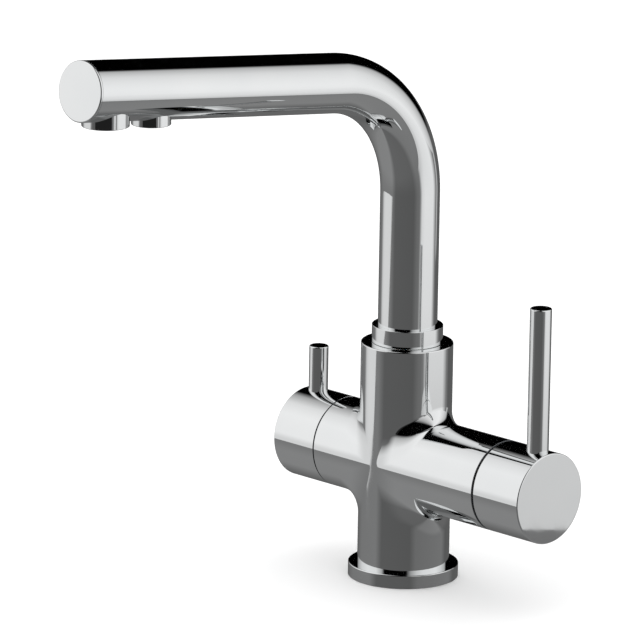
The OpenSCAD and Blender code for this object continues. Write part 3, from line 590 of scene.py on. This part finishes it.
# A threaded sleeve of plated brass holds each jet insert. It is screwed up inside the
# socket until its rim is just recessed, and has notches for the key that turns it.
sleeve_wall = 0.97 * mm
sleeve_recess = 0.4 * mm
sleeve_end = outlet_end - sleeve_recess
sleeve_edge_break = 0.15 * mm
key_notches = 6
key_notch_depth = 0.5 * mm
key_notch_from = 0.72
for name, (s, outlet_r, top) in zip(("mixed_aerator_housing", "filtered_outlet_housing"), outlets):
    sleeve = outlet_cylinder(s, outlet_r - socket_wall - seat_fit, top + shoulder_t + washer_t, sleeve_end,
                             144, "NOTHING")
    add_modifier(sleeve, "SOLIDIFY", thickness=sleeve_wall, offset=-1.0)
    rim_z = on_spout(s).z - sleeve_end
    edit(sleeve)
    pick(sleeve, lambda face, middle: faces_down(face, middle)
         and math.sin(key_notches * math.atan2(middle.x, middle.y - on_spout(s).y)) > key_notch_from)
    extrude((0, 0, key_notch_depth))
    pick(sleeve, lambda edge, middle: middle.z < rim_z + near and is_level(edge)
         and runs_round(edge, s), "EDGE")
    bpy.ops.mesh.bevel(offset=sleeve_edge_break, segments=2, affect="EDGES")
    finish_piece(sleeve, name + "_threaded", "spout", chrome, name)

# The jet inserts are moulded acetal, a satin light grey: a plate with two rings of small
# nozzles in a rim, clipped into the sleeve from above.
insert_rim = 1 * mm
insert_plate_t = 1.6 * mm
insert_plate_recess = 1 * mm
insert_plate_end = outlet_end - insert_plate_recess
insert_edge_w = 0.7 * mm
insert_recess = 0.35 * mm
nozzle_r = 0.7 * mm
nozzle_lip_mid_r = 0.95 * mm
nozzle_lip_r = 0.22 * mm
outer_nozzles_in = 2.6 * mm
inner_nozzles_in = 5 * mm
jet_plastic, tree, shader, place = mottled("moulded_grey_acetal", 3 * mm, 3.0, ("B4B8B8", "C6C9C8"),
                                           (0.28, 0.42), IOR=1.48)
spark_grain = add_node(tree, "ShaderNodeTexNoise", Vector=place, Scale=1 / (0.2 * mm), Detail=1.0)
acetal_bump = add_node(tree, "ShaderNodeBump", Strength=0.3, Distance=0.01 * mm,
                       Height=spark_grain.outputs["Fac"])
tree.links.new(acetal_bump.outputs["Normal"], shader.inputs["Normal"])

for name, outer_nozzles, (s, outlet_r, top) in zip(("mixed_aerator_insert", "filtered_outlet_insert"),
                                                   (12, 8), outlets):
    insert_r = outlet_r - socket_wall - seat_fit - sleeve_wall - seat_fit
    insert_top = top + shoulder_t + washer_t
    root = on_spout(s)
    insert = outlet_cylinder(s, insert_r, insert_top, insert_plate_end, 96)
    edit(insert)
    pick(insert, lambda face, middle: face.normal.z > 0.9)
    bpy.ops.mesh.inset(thickness=insert_rim)
    extrude((0, 0, insert_top - insert_plate_end + insert_plate_t))
    pick(insert, faces_down)
    bpy.ops.mesh.inset(thickness=insert_edge_w)
    extrude((0, 0, insert_recess))
    nozzle_places = []
    for count, out in ((outer_nozzles, insert_r - outer_nozzles_in),
                       (outer_nozzles // 2, insert_r - inner_nozzles_in)):
        for i in range(count):
            angle = 2 * math.pi * i / count
            nozzle_places.append((out * math.cos(angle), root.y - out * math.sin(angle)))
    for x, y in nozzle_places:
        bore(insert, nozzle_r, (x, y, root.z - insert_top), (x, y, root.z - outlet_end), 20)
    lips = [start_from(bpy.ops.mesh.primitive_torus_add, major_radius=nozzle_lip_mid_r,
                       minor_radius=nozzle_lip_r, major_segments=24, minor_segments=8,
                       location=(x, y, root.z - insert_plate_end + insert_recess)) for x, y in nozzle_places]
    select_only(insert)
    for lip in lips:
        lip.select_set(True)
    bpy.ops.object.join()
    finish_piece(insert, name + "_moulded", "spout", jet_plastic, name)

# Each handle cap is a turned brass cup of the arm's own diameter, plated, with a shallow
# seat and a thread for its lever and a hole for the screw that clamps it.
lever_seat_depth = 1.5 * mm
lever_hole_depth = 10.5 * mm
lever_thread_r = 3 * mm
mixer_lever_x = 85.8 * mm
mixer_rod_r = 5.1 * mm
filter_lever_x = -58.6 * mm
filter_rod_r = 4.6 * mm


def cap_blank(side, start, end):
    """A solid cap along an arm, with both its rims broken."""
    cap = start_from(bpy.ops.mesh.primitive_cylinder_add, vertices=160, radius=arm_r, depth=end - start,
                     location=on_arm(side * (start + end) / 2), rotation=(0, side * math.pi / 2, 0))
    edit(cap)
    pick(cap, lambda edge, middle: abs(abs(middle.x) - end) < near, "EDGE")
    bpy.ops.mesh.bevel(offset=edge_break, segments=4, affect="EDGES")
    pick(cap, lambda edge, middle: abs(abs(middle.x) - start) < near, "EDGE")
    bpy.ops.mesh.bevel(offset=seam_edge_break, segments=2, affect="EDGES")
    return cap


def bore_for_screw_and_lever(cap, screw_x, screw_r, lever_x, rod_r):
    bore(cap, screw_r, on_arm(screw_x), on_arm(screw_x, -arm_r - past), 48)
    bore(cap, rod_r + seat_fit, on_arm(lever_x, arm_r - lever_seat_depth), on_arm(lever_x, arm_r + past), 96)
    bore(cap, lever_thread_r, on_arm(lever_x, arm_r - lever_hole_depth), on_arm(lever_x, arm_r + past), 48)


# The mixer's cap is hollowed to a ball shape about its pivot, so that it tilts just clear
# of its arm. A keyed socket behind the hollow takes the stem.
mixer_cap_start = 65.6 * mm
mixer_cap_end = 94 * mm
mixer_pivot_x = 48 * mm
relief_gap = 0.3 * mm
relief_r = math.hypot(mixer_arm_end - mixer_pivot_x, arm_r) + relief_gap
stem_socket_x = 74.6 * mm
stem_socket_size = (19.2 * mm, 7.06 * mm, 6.46 * mm)
mixer_screw_x = 79.6 * mm
mixer_screw_r = 2.5 * mm
mixer_cap = cap_blank(1, mixer_cap_start, mixer_cap_end)
hollow(mixer_cap, start_from(bpy.ops.mesh.primitive_uv_sphere_add, segments=128, ring_count=64,
                             radius=relief_r, location=on_arm(mixer_pivot_x), rotation=(0, math.pi / 2, 0)))
hollow(mixer_cap, start_from(bpy.ops.mesh.primitive_cube_add, size=1, location=on_arm(stem_socket_x),
                             scale=stem_socket_size))
bore_for_screw_and_lever(mixer_cap, mixer_screw_x, mixer_screw_r, mixer_lever_x, mixer_rod_r)
finish_piece(mixer_cap, "mixer_handle_cap_turned", "mixer_handle", chrome, "mixer_handle_cap")

# The filtered water cap is turned wide inside, over the headwork, and bored narrow for
# its spindle, which its clamp screw bears on.
filter_cap_start = 40.1 * mm
filter_cap_end = 66.4 * mm
filter_hollow_r = 18.8 * mm
filter_hollow_floor = 50 * mm
spindle_hole_r = 3.93 * mm
spindle_hole_floor = 59.8 * mm
filter_screw_x = -53.5 * mm
filter_screw_r = 2 * mm
filter_cap = cap_blank(-1, filter_cap_start, filter_cap_end)
bore(filter_cap, filter_hollow_r, on_arm(past - filter_cap_start), on_arm(-filter_hollow_floor), 128)
bore(filter_cap, spindle_hole_r, on_arm(past - filter_hollow_floor), on_arm(-spindle_hole_floor), 48)
bore_for_screw_and_lever(filter_cap, filter_screw_x, filter_screw_r, filter_lever_x, filter_rod_r)
finish_piece(filter_cap, "filter_handle_cap_turned", "filter_handle", chrome, "filter_handle_cap")

# The levers are plain polished rods of plated brass with a broken edge at the tip. Each
# ends below in a thread, and stands screwed into the seat in its cap.
mixer_tip_z = 146 * mm
filter_tip_z = 99.9 * mm
lever_thread_l = 8 * mm
for name, body, x, rod_r, tip in (
        ("mixer_lever_rod", "mixer_handle", mixer_lever_x, mixer_rod_r, mixer_tip_z),
        ("filter_lever_rod", "filter_handle", filter_lever_x, filter_rod_r, filter_tip_z)):
    seat = arm_z + arm_r - lever_seat_depth
    lever = start_from(bpy.ops.mesh.primitive_cylinder_add, vertices=96, radius=rod_r, depth=tip - seat,
                       location=(x, 0, (tip + seat) / 2))
    edit(lever)
    pick(lever, faces_down)
    bpy.ops.mesh.inset(thickness=rod_r - lever_thread_r + seat_fit)
    extrude((0, 0, -lever_thread_l))
    pick(lever, lambda edge, middle: abs(middle.z - tip) < near, "EDGE")
    bpy.ops.mesh.bevel(offset=edge_break, segments=4, affect="EDGES")
    finish_piece(lever, name + "_turned", body, chrome, name)

# The pieces inside keep their solids. Those that carry water are machined brass, with
# the fine rings that a turning tool leaves every few tenths of a millimetre.
brass, tree, shader, place = mottled("machined_brass", 4 * mm, 4.0, ("C9A356", "E0C079"), (0.2, 0.38),
                                     Metallic=1)
tool_rings = add_node(tree, "ShaderNodeTexWave", {"bands_direction": "X"}, Vector=place, Scale=1 / (2 * mm),
                      Distortion=0.4)
brass_bump = add_node(tree, "ShaderNodeBump", Strength=0.25, Distance=0.02 * mm,
                      Height=tool_rings.outputs["Fac"])
tree.links.new(brass_bump.outputs["Normal"], shader.inputs["Normal"])

# The screws and the pivot pin are plain stainless steel, cold formed, with a fine grain
# and a dull sheen.
stainless = mottled("plain_stainless_steel", 0.8 * mm, 4.0, ("B9B6B0", "CDCBC6"), (0.25, 0.4),
                    Metallic=1)[0]

# The cartridge's casing, its carrier and the glide ring are moulded in natural acetal,
# an ivory plastic with a waxy, even sheen.
acetal = mottled("natural_acetal", 5 * mm, 3.0, ("E3E0D4", "EFEDE4"), (0.32, 0.48), IOR=1.48,
                 Subsurface_Weight=0.1, Subsurface_Scale=0.5 * mm)[0]

# The valve discs are sintered alumina, lapped flat: dense, cream white and glossy, with
# hardly any cloud in their tone.
alumina = mottled("lapped_alumina", 1.5 * mm, 3.0, ("ECE8DE", "F5F3EC"), (0.1, 0.2), IOR=1.76)[0]

# The inner tube is extruded polyethylene for drinking water: milky, with a faint cloud
# left by the die.
milky_tube = mottled("extruded_polyethylene", 1.2 * mm, 2.0, ("DCE0DF", "E9ECEB"), (0.3, 0.45), IOR=1.51,
                     Subsurface_Weight=0.3, Subsurface_Scale=1 * mm)[0]

inner_finish = {
    brass: ("spout_foot", "filtered_nipple", "mixer_cartridge_nut", "filter_valve_housing",
            "filtered_tube_plug", "mixer_stem", "filter_spindle"),
    stainless: ("spout_retaining_screw", "mixer_handle_screw", "filter_handle_screw", "mixer_pivot_pin"),
    acetal: ("spout_glide_ring", "mixer_cartridge_housing", "mixer_cartridge_base",
             "mixer_cartridge_carrier", "mixer_disc_coupler"),
    alumina: ("mixer_fixed_disc", "mixer_moving_disc", "filter_fixed_disc", "filter_moving_disc"),
    rubber: ("filtered_nipple_o_rings", "mixer_port_seals", "filter_valve_seat_washer",
             "spout_foot_o_rings", "mixer_carrier_o_ring", "filter_spindle_o_rings"),
    milky_tube: ("filtered_water_tube",)}
for material, names in inner_finish.items():
    for name in names:
        nodes[name].data.materials.clear()
        nodes[name].data.materials.append(material)

# The tap stands on a plain white floor. The floor keeps a faint soft shadow, and the
# polished metal doesn't mirror it: it mirrors the studio's grey table below.
floor_z = -0.2 * mm
floor = start_from(bpy.ops.mesh.primitive_plane_add, size=12, location=(0, 0, floor_z))
floor.name = "studio_floor"
white_paper, tree, shader = new_material("matt_white_paper")
shader.inputs["Base Color"].default_value = from_hex("FAFAFA")
shader.inputs["Roughness"].default_value = 1.0
shader.inputs["Specular IOR Level"].default_value = 0
floor.data.materials.append(white_paper)
floor.visible_glossy = False

# The studio is a ring of soft light: a large softbox on each side of the tap, a black
# curtain behind the camera and another behind the tap, and a mid grey table below them.
# Angles go round the tap from the camera's direction, positive to the camera's right.
camera_azimuth = 45.14
backdrop_white = 1.3
world = bpy.data.worlds.new("studio")
bpy.context.scene.world = world
world.use_nodes = True
tree = world.node_tree
direction = add_node(tree, "ShaderNodeTexCoord").outputs["Generated"]
height = add_node(tree, "ShaderNodeSeparateXYZ", Vector=direction).outputs["Z"]


def round_the_tap(tree, place):
    """Goes once round the tap from 0 to 1: 0.5 towards the camera, and more to its right."""
    from_camera = add_node(tree, "ShaderNodeMapping", Vector=place,
                           Rotation=(0, 0, math.radians(90 - camera_azimuth)))
    return add_node(tree, "ShaderNodeTexGradient", {"gradient_type": "RADIAL"},
                    Vector=from_camera.outputs["Vector"]).outputs["Fac"]


def ramp_of_tones(tree, factor, low, high, *stops):
    """Brightness along a factor, 0 at low and 1 at high, from (place, brightness) pairs."""
    ramp = add_node(tree, "ShaderNodeValToRGB", in_0=factor)
    ramp.color_ramp.interpolation = "LINEAR"
    while len(ramp.color_ramp.elements) < len(stops):
        ramp.color_ramp.elements.new(0.5)
    for element, (place, brightness) in zip(ramp.color_ramp.elements, stops):
        element.position = (place - low) / (high - low)
        element.color = (brightness, brightness, brightness, 1)
    return ramp.outputs["Color"]


around = round_the_tap(tree, direction)


def ring_of_tones(*stops):
    """A tone for each direction round the tap, from (degrees, brightness) pairs."""
    return ramp_of_tones(tree, around, -180, 180, *stops)


def above(low, high):
    """Goes softly from 0 to 1 between two elevations in degrees."""
    return add_node(tree, "ShaderNodeMapRange", {"interpolation_type": "SMOOTHSTEP"}, in_0=height,
                    in_1=math.sin(math.radians(low)), in_2=math.sin(math.radians(high))).outputs["Result"]


upper_boxes = ring_of_tones((-164, 0), (-152, 0.42), (-125, 0.82), (-100, 0.96), (-72, 0.9), (-56, 0.5),
                            (-49, 0), (8, 0), (20, 0.42), (34, 0.7), (50, 0.88), (90, 0.96), (108, 0.8),
                            (127, 0.5), (134, 0))
lower_boxes = ring_of_tones((-145, 0), (-128, 0.3), (-117, 0.68), (-106, 0.74), (-78, 0.74), (-70, 0.35),
                            (-64, 0), (36, 0), (48, 0.84), (60, 0.92), (98, 0.94), (110, 0.76),
                            (127, 0.5), (134, 0))
softboxes = add_node(tree, "ShaderNodeMix", {"data_type": "RGBA"}, in_0=above(-12, 0), in_6=lower_boxes,
                     in_7=upper_boxes)
table = ring_of_tones((-170, 0.13), (-130, 0.25), (-75, 0.26), (-58, 0.14), (15, 0.13), (30, 0.2),
                      (110, 0.24), (128, 0.14))
far_table = add_node(tree, "ShaderNodeMapRange", in_0=above(-35, -14), in_3=1.0, in_4=0.8)
lit_table = add_node(tree, "ShaderNodeMix", {"data_type": "RGBA", "blend_type": "MULTIPLY"}, in_0=1.0,
                     in_6=table, in_7=far_table.outputs["Result"])
behind_boxes = add_node(tree, "ShaderNodeMix", {"data_type": "RGBA"}, in_0=above(-5, -1),
                        in_6=lit_table.outputs[2], in_7=(0, 0, 0, 1))

# The softboxes' lower edge dips and rises round the tap. It is given by its slope, the
# height over the level distance, and is soft over a narrow band.
edge_soft_from = -0.0015
edge_soft_to = 0.0025
lower_edge = ring_of_tones((-150, 0.2857), (-132, 0.24), (-125, 0.2715), (-119, 0.2787), (-109, 0.2825),
                           (-102, 0.2812), (-94, 0.2787), (-87, 0.2735), (-84, 0.264), (-70, 0.24),
                           (-58, 0.24), (-56, 0.25))
flat = add_node(tree, "ShaderNodeVectorMath", {"operation": "MULTIPLY"}, in_0=direction, in_1=(1, 1, 0))
level = add_node(tree, "ShaderNodeVectorMath", {"operation": "LENGTH"}, in_0=flat.outputs["Vector"])
slope = add_node(tree, "ShaderNodeMath", {"operation": "DIVIDE"}, in_0=height, in_1=level.outputs["Value"])
over_edge = add_node(tree, "ShaderNodeMath", {"operation": "ADD"}, in_0=slope.outputs["Value"],
                     in_1=lower_edge)
on_boxes = add_node(tree, "ShaderNodeMapRange", {"interpolation_type": "SMOOTHSTEP"},
                    in_0=over_edge.outputs["Value"], in_1=edge_soft_from, in_2=edge_soft_to)
standing_boxes = add_node(tree, "ShaderNodeMix", {"data_type": "RGBA"}, in_0=on_boxes.outputs["Result"],
                          in_6=(0, 0, 0, 1), in_7=softboxes.outputs[2])
studio = add_node(tree, "ShaderNodeMix", {"data_type": "RGBA", "blend_type": "LIGHTEN"}, in_0=1.0,
                  in_6=behind_boxes.outputs[2], in_7=standing_boxes.outputs[2])
mirrored = add_node(tree, "ShaderNodeLightPath").outputs["Is Glossy Ray"]
seen = add_node(tree, "ShaderNodeMix", {"data_type": "RGBA"}, in_0=mirrored,
                in_6=(backdrop_white, backdrop_white, backdrop_white, 1), in_7=studio.outputs[2])
tree.links.new(seen.outputs[2], tree.nodes["Background"].inputs["Color"])

# The lower part of the right softbox is a panel 0.77 m from the tap. It hangs so near that
# the high spout sees further under it than the column does. Only the plating shows it.
box_distance = 767 * mm
box_bottom = -159 * mm
box_top = 101 * mm
box_left = 36
box_right = 122
table_tone = 0.19


def cloth(name):
    """A cloth that takes no light from the scene: it has only its own tone."""
    material, tree, shader = new_material(name)
    shader.inputs["Base Color"].default_value = (0, 0, 0, 1)
    shader.inputs["Specular IOR Level"].default_value = 0
    shader.inputs["Emission Strength"].default_value = 1
    return material, tree, shader


def hang(card, name, left, right, material):
    """Trims a card to the directions between two angles, and shows it to the plating alone."""
    edit(card)
    pick(card, lambda face, middle:
         not left < math.degrees(math.atan2(middle.x, -middle.y)) - camera_azimuth < right)
    bpy.ops.mesh.delete(type="FACE")
    bpy.ops.object.mode_set(mode="OBJECT")
    card.name = name
    card.data.materials.append(material)
    card.visible_camera = False
    card.visible_diffuse = False
    card.visible_shadow = False


softbox_cloth, tree, shader = cloth("lit_softbox_cloth")
place = add_node(tree, "ShaderNodeTexCoord").outputs["Object"]
across = ramp_of_tones(tree, round_the_tap(tree, place), -180, 180, (box_left, 0), (48, 0.89), (60, 1),
                       (100, 1), (110, 0.54), (box_right, 0))
above_bottom = add_node(tree, "ShaderNodeMapRange",
                        in_0=add_node(tree, "ShaderNodeSeparateXYZ", Vector=place).outputs["Z"],
                        in_1=box_bottom, in_2=box_top)
upwards = ramp_of_tones(tree, above_bottom.outputs["Result"], box_bottom, box_top, (box_bottom, 0.66),
                        (-116 * mm, 0.68), (-99 * mm, 0.73), (-60 * mm, 0.81), (35 * mm, 0.87),
                        (box_top, 0.92))
cloth_tone = add_node(tree, "ShaderNodeMath", {"operation": "MULTIPLY"}, in_0=across, in_1=upwards)
over_table = add_node(tree, "ShaderNodeMath", {"operation": "MAXIMUM"}, in_0=cloth_tone.outputs["Value"],
                      in_1=table_tone)
tree.links.new(over_table.outputs["Value"], shader.inputs["Emission Color"])
panel = start_from(bpy.ops.mesh.primitive_cylinder_add, vertices=240, radius=box_distance,
                   depth=box_top - box_bottom, end_fill_type="NOTHING",
                   location=(0, 0, (box_top + box_bottom) / 2))
hang(panel, "softbox_panel", box_left, box_right, softbox_cloth)

# The table ends about a metre from the tap, on the camera's side. The outlets are so high
# and so far out on the spout that they mirror the dark beyond its edge.
table_edge = 960 * mm
dark_left = -47
dark_right = 22
dark_tone = 0.015
dark_reach = 3
dark_drop = 2 * mm
unlit_cloth, tree, shader = cloth("unlit_black_cloth")
shader.inputs["Emission Color"].default_value = (dark_tone, dark_tone, dark_tone, 1)
dark_floor = start_from(bpy.ops.mesh.primitive_circle_add, vertices=144, radius=table_edge)
edit(dark_floor, "EDGE")
bpy.ops.mesh.select_all(action="SELECT")
bpy.ops.mesh.extrude_region_move()
bpy.ops.transform.resize(value=(dark_reach, dark_reach, 1))
bpy.ops.transform.translate(value=(0, 0, -dark_drop))
hang(dark_floor, "dark_beyond_table", dark_left, dark_right, unlit_cloth)

# The camera stands where the photograph was taken from: 3.6 m away with a long lens. It
# aims at a point on the tap's upright axis, moved to the camera's left.
camera_distance = 3.6
elevation = math.radians(14.49)
roll = math.radians(0.93)
aim_height = 122.93 * mm
aim_left = 41.05 * mm
photo_width_px = 640
focal_length_px = 7687.94
camera_data = bpy.data.cameras.new("camera")
camera = bpy.data.objects.new("camera", camera_data)
bpy.context.scene.collection.objects.link(camera)
bpy.context.scene.camera = camera
azimuth = math.radians(camera_azimuth)
away = Vector((math.sin(azimuth) * math.cos(elevation), -math.cos(azimuth) * math.cos(elevation),
               math.sin(elevation)))
right = Vector((math.cos(azimuth), math.sin(azimuth), 0))
upright = away.cross(right)
level_right = right * math.cos(roll) + upright * math.sin(roll)
level_up = upright * math.cos(roll) - right * math.sin(roll)
camera.matrix_world = Matrix((level_right, level_up, away)).transposed().to_4x4()
camera.location = Vector((0, 0, aim_height)) - right * aim_left + away * camera_distance
camera_data.sensor_width = 36
camera_data.lens = focal_length_px / photo_width_px * camera_data.sensor_width
camera_data.clip_end = 50
bpy.context.scene.view_settings.view_transform = "Standard"
